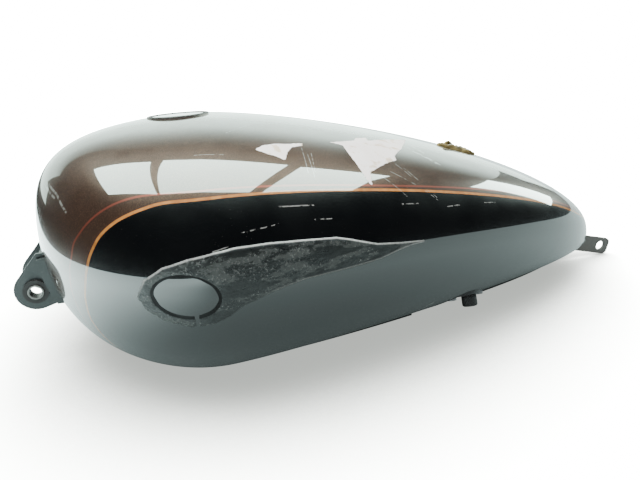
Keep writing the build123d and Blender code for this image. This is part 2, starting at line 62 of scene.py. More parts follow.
# ---------------- shape of the shell
LENGTH = 580.0
HALF_WIDTH = 172.5
CREST_Z = 215.5
BELLY_Z = -1.0
NOSE_Z = 117.0
TAIL_Z = 38.0
WIDEST_MID_Z = 111.0
AT_WIDEST = 148.0
AT_CREST = 145.0
AT_BELLY = 130.0
LOWER_FLATNESS = 0.71
LOWER_FULLNESS = 0.58
WALL = 1.5
LIP_DEPTH = 8.0
BENCH_Z = 2.0
FLOOR_AT = (-145.0, 8.0)
FLOOR_SLOPE = 0.0517
TUNNEL_FRONT = (45.0, 60.0)
TUNNEL_REAR = (15.0, 46.0)
TUNNEL_END_X = 310.0
CAP_FRAME = ((-153.0, 24.0, 214.0), 5.0)
CUP_RADIUS = 28.5
PUMP_FRAME = ((80.0, -74.0, 33.0), 21.5)
SEAT_RADIUS = 35.0
SEAT_HOLE_RADIUS = 27.0
CAP_ABOVE_Z = 150.0       # the filler's opening is cut only above this height
PUMP_BELOW_Z = 90.0       # the pump's pocket is cut only below this height
FAR = 500.0               # a distance that switches a cut off
ON_BORDER = 0.03          # points this near to a cut lie on it
SHIFT_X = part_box("left_skin")[0].x / MM + LENGTH / 2


def to_row(points):
    moved = np.array(points, float)
    moved[..., 0] += SHIFT_X
    moved[..., 2] -= BENCH_Z
    return moved * MM


def cubic(p0, p1, p2, p3, t):
    s = 1 - t
    return s**3 * p0 + 3 * s * s * t * p1 + 3 * s * t * t * p2 + t**3 * p3


def parameter_at(p0, p1, p2, p3, value):
    """The parameter where a rising cubic reaches each value."""
    table = np.linspace(0, 1, 513)
    t = np.interp(value, cubic(p0, p1, p2, p3, table), table)
    for _ in range(4):
        slope = 3 * (1 - t) ** 2 * (p1 - p0) + 6 * (1 - t) * t * (p2 - p1)
        slope = slope + 3 * t * t * (p3 - p2)
        t = np.clip(t - (cubic(p0, p1, p2, p3, t) - value) / np.maximum(slope, 1e-6), 0, 1)
    return t


def swept_line(x, start, peak, end, peak_x, rise, flat, drop):
    """A line from nose to tail: round at both ends, level where it peaks."""
    t = parameter_at(0, 0, peak_x - flat * peak_x, peak_x, np.minimum(x, peak_x))
    front = cubic(start, start + rise * (peak - start), peak, peak, t)
    ahead = peak_x + 0.2 * (LENGTH - peak_x)
    t = parameter_at(peak_x, ahead, LENGTH, LENGTH, np.maximum(x, peak_x))
    rear = cubic(peak, peak, end + drop * (peak - end), end, t)
    return np.where(x <= peak_x, front, rear)


def shell_lines(x):
    """Half width, crest, belly and widest heights at distances x from the nose."""
    width = swept_line(x, 0, HALF_WIDTH, 0, AT_WIDEST, 0.42, 0.36, 0.52)
    top = swept_line(x, NOSE_Z, CREST_Z, TAIL_Z, AT_CREST, 0.80, 0.79, 0.53)
    bottom = swept_line(x, NOSE_Z, BELLY_Z, TAIL_Z, AT_BELLY, 0.52, 0.71, 0.43)
    s = x / LENGTH
    wide = NOSE_Z * (1 - s) * (1 - 2 * s) + 4 * WIDEST_MID_Z * s * (1 - s)
    wide = wide + TAIL_Z * s * (2 * s - 1)
    return width, top, bottom, wide


def crown_handle(width, s):
    """How far out the crown stays level, at a share s of the length."""
    return (0.52 + 0.20 * s) * width


def skin_point(theta, u, side):
    """A point of the outer surface. theta runs 0 to pi from nose to tail, u runs 0 to 2
    from the crest by the widest line to the belly, side is -1 for left and 1 for right."""
    x = LENGTH * (1 - np.cos(theta)) / 2
    width, top, bottom, wide = shell_lines(x)
    s = x / LENGTH
    shoulder_z = wide + (0.54 + 0.18 * s) * (top - wide)
    a = np.clip(u, 0, 1)
    b = np.clip(u - 1, 0, 1)
    low_z = wide - LOWER_FULLNESS * (wide - bottom)
    upper_y = cubic(0, crown_handle(width, s), width, width, a)
    upper_z = cubic(top, top, shoulder_z, wide, a)
    lower_y = cubic(width, width, LOWER_FLATNESS * width, 0, b)
    lower_z = cubic(wide, low_z, bottom, bottom, b)
    y = np.where(u < 1, upper_y, lower_y)
    z = np.where(u < 1, upper_z, lower_z)
    return np.stack([x - LENGTH / 2, side * y, z], -1)


def skin_normal(theta, u, side):
    """The outward unit normal of the outer surface."""
    step = 2e-3
    theta = np.clip(theta, 3 * step, math.pi - 3 * step)
    along = skin_point(theta + step, u, side) - skin_point(theta - step, u, side)
    low, high = np.maximum(u - step, 0), np.minimum(u + step, 2)
    around = skin_point(theta, high, side) - skin_point(theta, low, side)
    normal = np.cross(along, around) * side
    return normal / np.maximum(np.linalg.norm(normal, axis=-1, keepdims=True), 1e-12)


def to_local(points, place):
    """X, Y and Z in a frame that is tilted about X."""
    (cx, cy, cz), tilt = place
    a = math.radians(-tilt)
    dx, dy, dz = points[..., 0] - cx, points[..., 1] - cy, points[..., 2] - cz
    return dx, dy * math.cos(a) + dz * math.sin(a), -dy * math.sin(a) + dz * math.cos(a)


def local_radius(points, place):
    """Distance from a frame's own Z axis."""
    x, y, _ = to_local(points, place)
    return np.hypot(x, y)


def from_local(points, place):
    """The way back from to_local()."""
    (cx, cy, cz), tilt = place
    a = math.radians(-tilt)
    x, y, z = points[..., 0], points[..., 1], points[..., 2]
    return np.stack([cx + x, cy + y * math.cos(a) - z * math.sin(a),
                     cz + y * math.sin(a) + z * math.cos(a)], -1)


def floor_height(x):
    return FLOOR_AT[1] + FLOOR_SLOPE * (x - FLOOR_AT[0])


def outside_tunnel(points):
    """Distance outside the tunnel wall's inverted U, negative within it."""
    share = (points[..., 0] + TUNNEL_END_X) / (2 * TUNNEL_END_X)
    half = TUNNEL_FRONT[0] + share * (TUNNEL_REAR[0] - TUNNEL_FRONT[0]) + WALL
    crown = TUNNEL_FRONT[1] + share * (TUNNEL_REAR[1] - TUNNEL_FRONT[1]) + WALL
    radius = 0.6 * half
    across = np.abs(points[..., 1]) - (half - radius)
    above = points[..., 2] - (crown - radius)
    outside = np.hypot(np.maximum(across, 0), np.maximum(above, 0))
    return outside + np.minimum(np.maximum(across, above), 0) - radius


def skin_field(points):
    """Positive where the pressed skin has metal."""
    x, z = points[..., 0], points[..., 2]
    return np.minimum.reduce([
        z - floor_height(x),
        outside_tunnel(points),
        local_radius(points, CAP_FRAME) - CUP_RADIUS + FAR * (z < CAP_ABOVE_Z),
        local_radius(points, PUMP_FRAME) - SEAT_RADIUS + FAR * (z > PUMP_BELOW_Z),
    ])


# ---------------- mesh helpers
def grid_squares(shape):
    """The four point numbers of each square of a grid."""
    number = np.arange(shape[0] * shape[1]).reshape(shape)
    squares = [number[:-1, :-1], number[:-1, 1:], number[1:, 1:], number[1:, :-1]]
    return np.stack(squares, -1).reshape(-1, 4)


def part_of_grid(where, squares, depth, cut_point):
    """The points and faces of a grid where depth is positive. cut_point() places the
    border point on an edge, from the number of its outer point and its inner one."""
    inside = depth[squares] > 0
    faces = [list(square) for square in squares[inside.all(1)]]
    extra, cut_at = [], {}
    for square in squares[inside.any(1) & ~inside.all(1)]:
        ring = []
        for k in range(4):
            a, b = int(square[k]), int(square[(k + 1) % 4])
            if depth[a] > 0:
                ring.append(a)
            if (depth[a] > 0) != (depth[b] > 0):
                key = (min(a, b), max(a, b))
                if key not in cut_at:
                    cut_at[key] = len(where) + len(extra)
                    extra.append(cut_point(a, b) if depth[b] > 0 else cut_point(b, a))
                ring.append(cut_at[key])
        if len(ring) > 2:
            faces.append(ring)
    everywhere = np.concatenate([where, np.array(extra).reshape(-1, 2)])
    used = np.unique(np.concatenate([np.array(face) for face in faces]))
    renumber = np.full(len(everywhere), -1)
    renumber[used] = np.arange(len(used))
    return everywhere[used], [[int(renumber[i]) for i in face] for face in faces]


def clipped_grid(theta, u, side, field):
    """The part of the surface grid where field is positive, cut exactly on its border."""
    T, U = np.meshgrid(theta, u, indexing="ij")
    where = np.stack([T.ravel(), U.ravel()], 1)
    squares = grid_squares(T.shape)

    def cut_point(outer, inner):
        p, q = where[outer], where[inner]
        for _ in range(12):
            middle = (p + q) / 2
            if field(skin_point(*middle, side)) > 0:
                q = middle
            else:
                p = middle
        return q

    depth = field(skin_point(T, U, side)).ravel()
    return part_of_grid(where, squares if side < 0 else squares[:, ::-1], depth, cut_point)


def turned_outward(faces, points, normals):
    """The faces, reversed if they disagree with the normals."""
    a, b, c = faces[len(faces) // 2][:3]
    turn = np.cross(points[b] - points[a], points[c] - points[a])
    return [face[::-1] for face in faces] if turn @ normals[a] < 0 else faces


def ring_faces(steps, across):
    """Faces of a closed ring with the same closed section at every step."""
    faces = []
    for i in range(steps):
        j = (i + 1) % steps
        for k in range(across):
            m = (k + 1) % across
            faces.append([i * across + k, j * across + k, j * across + m, i * across + m])
    return faces


def border_edges(faces):
    """Edges with one face, each in its face's direction."""
    seen = {}
    for face in faces:
        for k, a in enumerate(face):
            b = face[(k + 1) % len(face)]
            seen[(a, b)] = True
    return [(a, b) for a, b in seen if (b, a) not in seen]


def in_scene(name, data):
    """A new object in the scene."""
    made = bpy.data.objects.new(name, data)
    bpy.context.scene.collection.objects.link(made)
    return made


def make_piece(name, points, faces, body, material, slot=None, sharp_deg=0):
    """A smooth mesh object, its points in the shell's frame, riding on a body."""
    mesh = bpy.data.meshes.new(name)
    mesh.from_pydata([tuple(p) for p in to_row(points)], [], faces)
    mesh.validate()
    mesh.polygons.foreach_set("use_smooth", [True] * len(mesh.polygons))
    if sharp_deg:
        mesh.set_sharp_from_angle(angle=math.radians(sharp_deg))
    piece = in_scene(name, mesh)
    mesh.materials.append(material)
    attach(piece, body)
    return piece


def store(piece, name, values):
    """The same values on the outer points of a closed wall and on its inner ones."""
    layer = piece.data.attributes.new(name, "FLOAT", "POINT")
    layer.data.foreach_set("value", np.tile(values, 2).astype(np.float32))


def closed_wall(outer, inner, faces):
    """A face outside, its copy inside, and rims between them."""
    count = len(outer)
    back = [[i + count for i in reversed(face)] for face in faces]
    rims = [[b, a, a + count, b + count] for a, b in border_edges(faces)]
    return np.concatenate([outer, inner]), faces + back + rims


def joined(parts):
    """Several (points, faces) as one."""
    points, faces, start = [], [], 0
    for p, f in parts:
        points.append(p)
        faces += [[i + start for i in face] for face in f]
        start += len(p)
    return np.concatenate(points), faces


def waviness(flat, across, up, layer):
    """Smooth noise over a flat pattern, with its two frequencies per mm."""
    return np.array([noise.noise(Vector((p[0] * across, p[1] * up, layer))) for p in flat])


# ---------------- node helpers
class Nodes:
    """A few short calls for building a material's node tree."""

    def __init__(self, name):
        self.material = bpy.data.materials.new(name)
        self.material.use_nodes = True
        self.tree = self.material.node_tree
        self.tree.nodes.clear()
        self.output = self.tree.nodes.new("ShaderNodeOutputMaterial")
        self.shader = self.tree.nodes.new("ShaderNodeBsdfPrincipled")
        self.link(self.shader.outputs[0], self.output.inputs[0])

    def link(self, a, b):
        self.tree.links.new(a, b)

    def put(self, value, socket):
        if isinstance(value, bpy.types.NodeSocket):
            self.link(value, socket)
        elif value is not None:
            socket.default_value = value

    def set(self, **values):
        for key, value in values.items():
            self.put(value, self.shader.inputs[key.replace("_", " ")])

    def place(self):
        if not hasattr(self, "coordinates"):
            self.coordinates = self.tree.nodes.new("ShaderNodeTexCoord").outputs["Object"]
        return self.coordinates

    def math(self, operation, a, b=None):
        node = self.tree.nodes.new("ShaderNodeMath")
        node.operation = operation
        self.put(a, node.inputs[0])
        self.put(b, node.inputs[1])
        return node.outputs[0]

    def vector(self, operation, a, b=None, scale=None):
        node = self.tree.nodes.new("ShaderNodeVectorMath")
        node.operation = operation
        self.put(a, node.inputs[0])
        self.put(b, node.inputs[1])
        if scale is not None:
            self.put(scale, node.inputs["Scale"])
        return node.outputs["Value" if operation in ("LENGTH", "DOT_PRODUCT") else "Vector"]

    def along(self, direction):
        """The position measured along a direction of the object."""
        return self.vector("DOT_PRODUCT", self.place(), direction)

    def ramp(self, value, low, high, start=0.0, end=1.0):
        node = self.tree.nodes.new("ShaderNodeMapRange")
        node.interpolation_type = "SMOOTHSTEP"
        for key, item in (("Value", value), ("From Min", low), ("From Max", high),
                          ("To Min", start), ("To Max", end)):
            self.put(item, node.inputs[key])
        return node.outputs[0]

    def mix(self, share, a, b):
        node = self.tree.nodes.new("ShaderNodeMix")
        node.data_type = "RGBA"
        self.put(share, node.inputs[0])
        for colour, socket in ((a, node.inputs[6]), (b, node.inputs[7])):
            self.put((*colour, 1) if isinstance(colour, tuple) else colour, socket)
        return node.outputs[2]

    def texture(self, kind, place, scale):
        node = self.tree.nodes.new(kind)
        self.link(place, node.inputs["Vector"])
        node.inputs["Scale"].default_value = scale
        return node

    def noise(self, scale, detail=3.0, rough=0.5, stretch=None):
        place = self.place()
        if stretch:
            place = self.vector("MULTIPLY", place, stretch)
        node = self.texture("ShaderNodeTexNoise", place, scale)
        node.inputs["Detail"].default_value = detail
        node.inputs["Roughness"].default_value = rough
        return node.outputs[0]

    def shake(self, scale, reach):
        """A small uneven offset for positions."""
        colour = self.texture("ShaderNodeTexNoise", self.place(), scale).outputs[1]
        return self.vector("SCALE", self.vector("SUBTRACT", colour, (0.5, 0.5, 0.5)), scale=reach)

    def cells(self, scale, output="Distance"):
        return self.texture("ShaderNodeTexVoronoi", self.place(), scale).outputs[output]

    def attribute(self, name):
        node = self.tree.nodes.new("ShaderNodeAttribute")
        node.attribute_name = name
        return node.outputs["Fac"]

    def bump(self, height, strength, distance):
        node = self.tree.nodes.new("ShaderNodeBump")
        node.inputs["Strength"].default_value = strength
        node.inputs["Distance"].default_value = distance
        self.link(height, node.inputs["Height"])
        self.link(node.outputs[0], self.shader.inputs["Normal"])


# ---------------- paint lines
# Each line is given by (distance along X, u) points on the skin, u as in skin_point().
STRIPE = [(287, 0.70), (265, 0.628), (208, 0.60), (93, 0.604), (-10, 0.60), (-116, 0.598),
          (-160, 0.60), (-180, 0.608), (-195, 0.636), (-208, 0.672), (-218, 0.714),
          (-227, 0.77), (-233, 0.83), (-238, 0.895), (-242, 0.97), (-246, 1.06), (-249, 1.16),
          (-249, 1.30), (-243, 1.42), (-232, 1.55), (-216, 1.70), (-196, 1.85)]
PINLINE = [(286, 0.60), (250, 0.555), (149, 0.552), (60, 0.567), (-8, 0.573), (-80, 0.566),
           (-140, 0.56), (-170, 0.56), (-187, 0.564), (-199, 0.574), (-212, 0.60),
           (-224, 0.642), (-234, 0.695), (-242, 0.755), (-249, 0.825), (-253, 0.91),
           (-257, 1.0), (-260, 1.16), (-256, 1.38), (-245, 1.55), (-228, 1.72), (-206, 1.87)]
STRIPE_HALF_WIDTH = 1.35
PINLINE_HALF_WIDTH = 0.85
SOFT_EDGE = 0.2           # over which a line's colour fades
PANEL_EDGE = 0.25         # over which black turns to brown
PAST_TAIL = 400.0         # a distance along X beyond the tail
PAST_BELLY = 3.0          # a u beyond the belly


def smooth_line(points, steps=60):
    """A Catmull-Rom line through the points."""
    p = np.array(points, float)
    p = np.vstack([2 * p[0] - p[1], p, 2 * p[-1] - p[-2]])
    t = np.linspace(0, 1, steps, endpoint=False)[:, None]
    spans = []
    for a, b, c, d in zip(p[:-3], p[1:-2], p[2:-1], p[3:]):
        bend = (2 * a - 5 * b + 4 * c - d) * t**2 + (3 * b - a - 3 * c + d) * t**3
        spans.append((2 * b + (c - a) * t + bend) / 2)
    return np.vstack([*spans, p[-2:-1]])


def theta_at(x):
    return np.arccos(np.clip(1 - 2 * (x + LENGTH / 2) / LENGTH, -1, 1))


def line_distance(points, where, line):
    """Signed distance in mm from a paint line: negative on the belly's side of it."""
    curve = smooth_line(line)
    track = skin_point(theta_at(curve[:, 0]), curve[:, 1], 1)
    tree = KDTree(len(track))
    for i, p in enumerate(track):
        tree.insert(p, i)
    tree.balance()
    around = [[curve[-1, 0], PAST_BELLY], [PAST_TAIL, PAST_BELLY], [PAST_TAIL, curve[0, 1]]]
    loop = np.vstack([curve, around])
    x = LENGTH * (1 - np.cos(where[:, 0])) / 2 - LENGTH / 2
    inside = in_polygon(np.stack([x, where[:, 1]], 1), loop)
    mirrored = points * np.array([1, np.sign(points[:, 1].sum()) or 1, 1])
    found = []
    for p in mirrored:
        _, i, far = tree.find(p)
        for j in (i - 1, i):
            if 0 <= j < len(track) - 1:
                a, step = track[j], track[j + 1] - track[j]
                t = np.clip(np.dot(p - a, step) / max(np.dot(step, step), 1e-9), 0, 1)
                far = min(far, float(np.linalg.norm(p - a - t * step)))
        found.append(far)
    return np.where(inside, -np.array(found), np.array(found))


def in_polygon(points, polygon):
    inside = np.zeros(len(points), bool)
    for a, b in zip(polygon, np.roll(polygon, -1, axis=0)):
        crosses = (a[1] > points[:, 1]) != (b[1] > points[:, 1])
        rise = (b[1] - a[1]) or 1e-12
        at = a[0] + (points[:, 1] - a[1]) / rise * (b[0] - a[0])
        inside ^= crosses & (points[:, 0] < at)
    return inside


def polygon_distance(points, polygon):
    """Signed distance to a closed outline, positive inside it."""
    best = np.full(len(points), 1e9)
    for a, b in zip(polygon, np.roll(polygon, -1, axis=0)):
        step = b - a
        t = np.clip((points - a) @ step / max(step @ step, 1e-9), 0, 1)
        best = np.minimum(best, np.linalg.norm(points - a - t[:, None] * step, axis=1))
    return np.where(in_polygon(points, polygon), best, -best)


# ---------------- materials
def scratch_and_reflection_mask(n, scratches, drop, width):
    """1 on thin lines between pairs of points, seen along the axis numbered drop."""
    keep = tuple(0 if k == drop else 1 for k in range(3))
    flat = n.vector("MULTIPLY", n.place(), keep)
    flat = n.vector("MULTIPLY", n.vector("ADD", flat, n.shake(90, 0.0004)), keep)
    total = None
    for start, end in scratches:
        a, b = to_row([start, end])
        a[drop] = b[drop] = 0
        step = b - a
        from_a = n.vector("SUBTRACT", flat, tuple(a))
        share = n.math("DIVIDE", n.vector("DOT_PRODUCT", from_a, tuple(step)), float(step @ step))
        share = n.math("MINIMUM", n.math("MAXIMUM", share, 0.0), 1.0)
        nearest = n.vector("SCALE", tuple(step), scale=share)
        away = n.vector("LENGTH", n.vector("SUBTRACT", from_a, nearest))
        mark = n.ramp(away, width * 0.4, width, 1.0, 0.0)
        total = mark if total is None else n.math("MAXIMUM", total, mark)
    return total


# Each line runs between two points in the shell's frame.
# Side lines: painted reflections of room lights, in the black below the stripe.
SIDE_PAINTED_REFLECTIONS = [((-97, 0, 168), (-70, 0, 164.5)), ((-128, 0, 157), (-100, 0, 158)),
                  ((-150, 0, 148), (-139, 0, 150)), ((7, 0, 151), (24, 0, 148)),
                  ((-73, 0, 156), (-58, 0, 154)), ((52, 0, 140), (66, 0, 138)),
                  ((96, 0, 133), (110, 0, 130))]
TOP_SCRATCHES = [((-62, -84, 0), (-66, -118, 0)), ((-59, -86, 0), (-62, -122, 0)),
                 ((-56, -92, 0), (-60, -116, 0)), ((18, -92, 0), (27, -106, 0)),
                 ((24, -96, 0), (32, -108, 0)), ((30, -112, 0), (44, -120, 0)),
                 ((-2, -112, 0), (14, -126, 0)), ((8, -104, 0), (44, -122, 0)),
                 ((-120, -60, 0), (-80, -20, 0)), ((-150, -95, 0), (-128, -98, 0))]
FRONT_SCUFFS = [((-270, -27, 182), (-259, -59, 174)), ((-259, -59, 174), (-252, -78, 164)),
                ((-272, -22, 180), (-261, -58, 171))]


def body_paint():
    n = Nodes("tank_paint")
    panel = n.attribute("stripe_mm")
    flake = n.cells(2600, "Color")
    flake_value = n.vector("DOT_PRODUCT", flake, (0.33, 0.33, 0.33))
    cloud = n.noise(9, 4)
    brown = n.mix(n.ramp(cloud, 0.3, 0.7), (0.026, 0.016, 0.0115), (0.040, 0.023, 0.016))
    brown = n.mix(n.ramp(flake_value, 0.35, 0.95, 0.0, 0.6), brown, (0.12, 0.07, 0.045))
    black = n.mix(n.ramp(n.noise(14, 3), 0.3, 0.7), (0.0010, 0.0014, 0.0018),
                  (0.0018, 0.0022, 0.0026))
    is_brown = n.ramp(panel, -PANEL_EDGE, PANEL_EDGE)
    colour = n.mix(is_brown, black, brown)
    off_line = n.math("ABSOLUTE", panel)
    on_stripe = n.ramp(off_line, STRIPE_HALF_WIDTH - SOFT_EDGE, STRIPE_HALF_WIDTH + SOFT_EDGE,
                       1.0, 0.0)
    gold = n.mix(n.ramp(n.noise(160, 4), 0.3, 0.7), (0.34, 0.13, 0.03), (0.46, 0.20, 0.05))
    gold = n.mix(n.ramp(off_line, 0.9, 1.7), gold, (0.20, 0.07, 0.022))
    colour = n.mix(on_stripe, colour, gold)
    off_pin = n.math("ABSOLUTE", n.attribute("pinline_mm"))
    on_pin = n.ramp(off_pin, PINLINE_HALF_WIDTH - SOFT_EDGE, PINLINE_HALF_WIDTH + 0.3, 1.0, 0.0)
    colour = n.mix(on_pin, colour, (0.16, 0.045, 0.03))
    left_only = n.ramp(n.along((0, 1, 0)), -0.03, -0.04)
    scratches_and_reflections = n.math("MAXIMUM", scratch_and_reflection_mask(n, SIDE_PAINTED_REFLECTIONS, 1, 0.0005),
                   scratch_and_reflection_mask(n, TOP_SCRATCHES, 2, 0.0004))
    scratches_and_reflections = n.math("MAXIMUM", scratches_and_reflections, scratch_and_reflection_mask(n, FRONT_SCUFFS, 0, 0.0011))
    broken = n.ramp(n.noise(240, 2), 0.40, 0.55)
    scratches_and_reflections = n.math("MULTIPLY", n.math("MULTIPLY", scratches_and_reflections, broken), left_only)
    fine = n.ramp(n.noise(60, 2, 0.5, (0.35, 6.0, 6.0)), 0.70, 0.74, 0.0, 0.10)
    # Lighter lines: scratches and scuffs, and on the side painted room-light reflections.
    colour = n.mix(n.math("MULTIPLY", scratches_and_reflections, 0.6), colour, (0.30, 0.31, 0.29))
    dust = n.ramp(n.cells(420), 0.07, 0.03, 0.0, 0.22)
    dust = n.math("MULTIPLY", dust, n.ramp(n.noise(30, 2), 0.5, 0.62))
    colour = n.mix(dust, colour, (0.38, 0.36, 0.33))
    metal = n.math("MULTIPLY", is_brown, 0.35)
    metal = n.math("MULTIPLY", metal, n.math("SUBTRACT", 1.0, on_stripe))
    rough = n.ramp(n.noise(40, 3), 0.3, 0.7, 0.28, 0.38)
    rough = n.math("ADD", rough, n.math("MULTIPLY", n.math("ADD", scratches_and_reflections, fine), 0.3))
    n.set(Base_Color=colour, Metallic=metal, Roughness=rough, IOR=1.5, Specular_IOR_Level=0.06,
          Coat_Weight=1.0, Coat_Roughness=0.02, Coat_IOR=1.52)
    n.bump(n.noise(26, 2), 0.10, 0.0004)
    return n.material


def plain(name, colour, shade, metallic, rough, scale, bump=0.15, stretch=None,
          distance=0.0001, specular=0.5):
    """A material of two shades of a colour with uneven roughness and a fine surface."""
    n = Nodes(name)
    cloud = n.noise(scale * 0.3, 4, 0.6, stretch)
    n.set(Base_Color=n.mix(n.ramp(cloud, 0.3, 0.7), colour, shade), Metallic=metallic,
          Roughness=n.ramp(cloud, 0.25, 0.75, *rough), Specular_IOR_Level=specular)
    n.bump(n.noise(scale * 8, 3, 0.6, stretch), bump, distance)
    return n.material


def worn_coating(name, colour, edge_colour, rough=(0.38, 0.55)):
    """Satin coating over steel, with specks, dust and rubbed patches."""
    n = Nodes(name)
    cloud = n.noise(45, 5, 0.65)
    specks = n.ramp(n.cells(900), 0.18, 0.06)
    rubbed = n.ramp(n.noise(130, 5, 0.7), 0.60, 0.68, 0.0, 0.7)
    base = n.mix(n.ramp(cloud, 0.3, 0.7), colour, tuple(1.5 * c for c in colour))
    base = n.mix(n.math("MULTIPLY", specks, 0.18), base, (0.30, 0.28, 0.25))
    base = n.mix(rubbed, base, edge_colour)
    n.set(Base_Color=base, Metallic=0.15, Roughness=n.ramp(cloud, 0.25, 0.75, *rough))
    n.bump(n.noise(700, 4, 0.6), 0.25, 0.00012)
    return n.material


# For each slot: colour, shade, metallic, roughness, scale, bump, stretch, bump distance.
PLAIN = {
    "zinc_steel": ((0.50, 0.49, 0.46), (0.62, 0.61, 0.58), 0.9, (0.28, 0.45), 90),
    "spring_steel": ((0.42, 0.42, 0.42), (0.52, 0.52, 0.51), 1.0, (0.2, 0.35), 120),
    "chrome_cap": ((0.80, 0.81, 0.82), (0.70, 0.71, 0.73), 1.0, (0.04, 0.10), 60, 0.03),
    "cap_plastic": ((0.018, 0.018, 0.019), (0.03, 0.03, 0.031), 0, (0.42, 0.6), 150, 0.3),
    "module_plastic": ((0.012, 0.012, 0.013), (0.022, 0.022, 0.023), 0, (0.4, 0.55), 130, 0.3),
    "filter_plastic": ((0.60, 0.57, 0.47), (0.68, 0.66, 0.58), 0, (0.35, 0.5), 60),
    "strainer_mesh": ((0.62, 0.60, 0.52), (0.72, 0.70, 0.62), 0, (0.7, 0.85), 500, 0.6,
                      None, 0.0003),
    "rubber": ((0.012, 0.012, 0.012), (0.024, 0.023, 0.022), 0, (0.6, 0.8), 110, 0.3),
    "hose_rubber": ((0.014, 0.014, 0.014), (0.022, 0.022, 0.022), 0, (0.5, 0.65), 150, 0.25,
                    (1, 1, 0.3)),
    "brass": ((0.62, 0.45, 0.20), (0.72, 0.55, 0.28), 1.0, (0.22, 0.4), 100),
    "aluminium": ((0.70, 0.71, 0.72), (0.60, 0.61, 0.62), 1.0, (0.28, 0.42), 50, 0.1,
                  (0.1, 1, 1)),
    "motor_iron": ((0.18, 0.18, 0.19), (0.26, 0.26, 0.27), 0.8, (0.4, 0.6), 90, 0.3,
                   (8, 0.2, 0.2)),
    "float_foam": ((0.05, 0.05, 0.055), (0.09, 0.09, 0.10), 0, (0.75, 0.9), 200, 0.6,
                   None, 0.0004),
    "adhesive": ((0.02, 0.02, 0.02), (0.05, 0.05, 0.045), 0, (0.5, 0.7), 200, 0.5),
}
paint = body_paint()
inside_steel = plain("inside_steel", (0.30, 0.29, 0.27), (0.38, 0.36, 0.33), 0.85, (0.35, 0.55), 40)
slot_looks = {
    "pan_paint": worn_coating("pan_paint", (0.016, 0.016, 0.017), (0.05, 0.05, 0.05)),
    "bracket_paint": worn_coating("bracket_paint", (0.016, 0.021, 0.021), (0.05, 0.056, 0.055)),
    **{name: plain(name, *look) for name, look in PLAIN.items()},
}
own_looks = {
    "rear_tab": worn_coating("tab_coating", (0.060, 0.056, 0.050), (0.16, 0.15, 0.14)),
    "pump_screws": slot_looks["motor_iron"],
}
slot_of = {s["node"]: s["material_slot"] for s in frame["record"]["subparts"]}
for node_name, node in nodes.items():
    look = own_looks.get(node_name, slot_looks.get(slot_of[node_name], inside_steel))
    node.data.materials.clear()
    node.data.materials.append(look)
    for polygon in node.data.polygons:
        polygon.material_index = 0

# ---------------- the painted skins
ROWS = 300
COLUMNS = 190
POLE_MARGIN = 0.002       # how far theta keeps from the two ends


def painted_skin(name, side, node_name):
    theta = np.linspace(POLE_MARGIN, math.pi - POLE_MARGIN, ROWS)
    u = np.linspace(0, 2, COLUMNS)
    where, faces = clipped_grid(theta, u, side, skin_field)
    points = skin_point(*where.T, side)
    normals = skin_normal(*where.T, side)
    on_seam = np.abs(points[:, 1]) < 1e-6
    normals[on_seam, 1] = 0
    normals /= np.linalg.norm(normals, axis=1, keepdims=True)
    faces = turned_outward(faces, points, normals)
    wall, all_faces = closed_wall(points, points - WALL * normals, faces)
    piece = make_piece(name, wall, all_faces, "tank", paint, "skin_paint")
    store(piece, "stripe_mm", line_distance(points, where, STRIPE))
    store(piece, "pinline_mm", line_distance(points, where, PINLINE))
    mesh = piece.data
    mesh.materials.append(inside_steel)
    loop_normals = []
    for index, polygon in enumerate(mesh.polygons):
        if index < len(faces):
            loop_normals += [normals[v] for v in polygon.vertices]
        elif index < 2 * len(faces):
            polygon.material_index = 1
            loop_normals += [-normals[v - len(points)] for v in polygon.vertices]
        else:
            loop_normals += [np.array(polygon.normal)] * len(polygon.vertices)
    mesh.normals_split_custom_set([tuple(v) for v in loop_normals])
    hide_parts(node_name)
    return points, faces


left_points, left_faces = painted_skin("left_skin_painted", -1, "left_skin")
right_points, right_faces = painted_skin("right_skin_painted", 1, "right_skin")


# ---------------- lips under the shell
LIP_PROFILE = ((0, 0.0), (0, 0.35), (0, 0.93), (0.35, 1.0), (1.9, 1.0), (2.2, 0.93), (2.2, -0.1))
SHORTEST_CHAIN = 8        # border points a stretch of lip needs at least


def floor_chains(points, faces):
    """Lines of border points that lie on the floor plane, outside the pump pocket."""
    off_floor = np.abs(points[:, 2] - floor_height(points[:, 0]))
    clear = local_radius(points, PUMP_FRAME) > SEAT_RADIUS + WALL
    on_floor = (off_floor < ON_BORDER) & (clear | (points[:, 1] > 0))
    step = {a: b for a, b in border_edges(faces) if on_floor[a] and on_floor[b]}
    starts = [a for a in step if a not in set(step.values())]
    chains = []
    for a in starts:
        chain = [a]
        while chain[-1] in step:
            chain.append(step[chain[-1]])
        if len(chain) > SHORTEST_CHAIN:
            chains.append(points[chain])
    return chains


def lip_strip(chain):
    """A bent-down edge under a chain of floor border points. LIP_PROFILE gives its
    section: how far inwards in mm, and which share of the way down."""
    ahead = np.gradient(chain, axis=0)[:, :2]
    ahead /= np.maximum(np.linalg.norm(ahead, axis=1, keepdims=True), 1e-9)
    outward = np.stack([ahead[:, 1], -ahead[:, 0]], 1)
    if np.mean(outward[:, 1] * chain[:, 1]) < 0:
        outward = -outward
    inset = np.zeros_like(chain)
    inset[:, :2] = -outward
    low = np.maximum(chain[:, 2] - LIP_DEPTH, BENCH_Z)
    ring = []
    for depth, height in LIP_PROFILE:
        line = chain + inset * depth
        line[:, 2] = chain[:, 2] + (low - chain[:, 2]) * height
        ring.append(line)
    points = np.concatenate(ring)
    count, around = len(chain), len(ring)
    faces = []
    for k in range(around):
        m = (k + 1) % around
        for i in range(count - 1):
            faces.append([k * count + i, k * count + i + 1, m * count + i + 1, m * count + i])
    faces.append([k * count for k in reversed(range(around))])
    faces.append([k * count + count - 1 for k in range(around)])
    return points, faces


